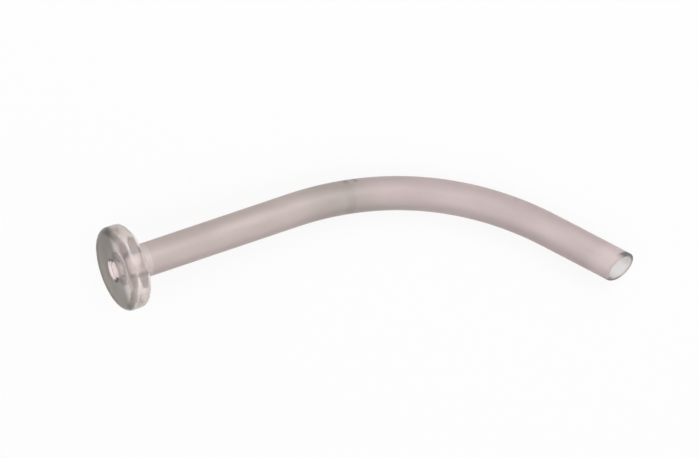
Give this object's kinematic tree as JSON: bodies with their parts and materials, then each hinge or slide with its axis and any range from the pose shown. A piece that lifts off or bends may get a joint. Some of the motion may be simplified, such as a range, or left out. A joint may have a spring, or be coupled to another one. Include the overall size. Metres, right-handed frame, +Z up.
{
  "type": "nasopharyngeal airway",
  "caption": "Soft curved breathing tube with a bevelled round-lipped tip and a thick clear disc flange bonded to its other end, lying on its side.",
  "frame": {"origin": "centre of the floor under the airway's bounding box, as it lies on its side", "axes": "+X from the flange towards the tip, along the flange's axis seen from above; +Y towards the outside of the bend; +Z up"},
  "size_m": [0.148, 0.0588, 0.0239],
  "materials": {
    "tube": "translucent pinkish soft PVC with a satin surface",
    "flange": "clear glossy moulded PVC with a faint warm grey tint"
  },
  "bodies": {
    "root": {"tube": "tube", "flange": "flange"}
  },
  "joints": []
}
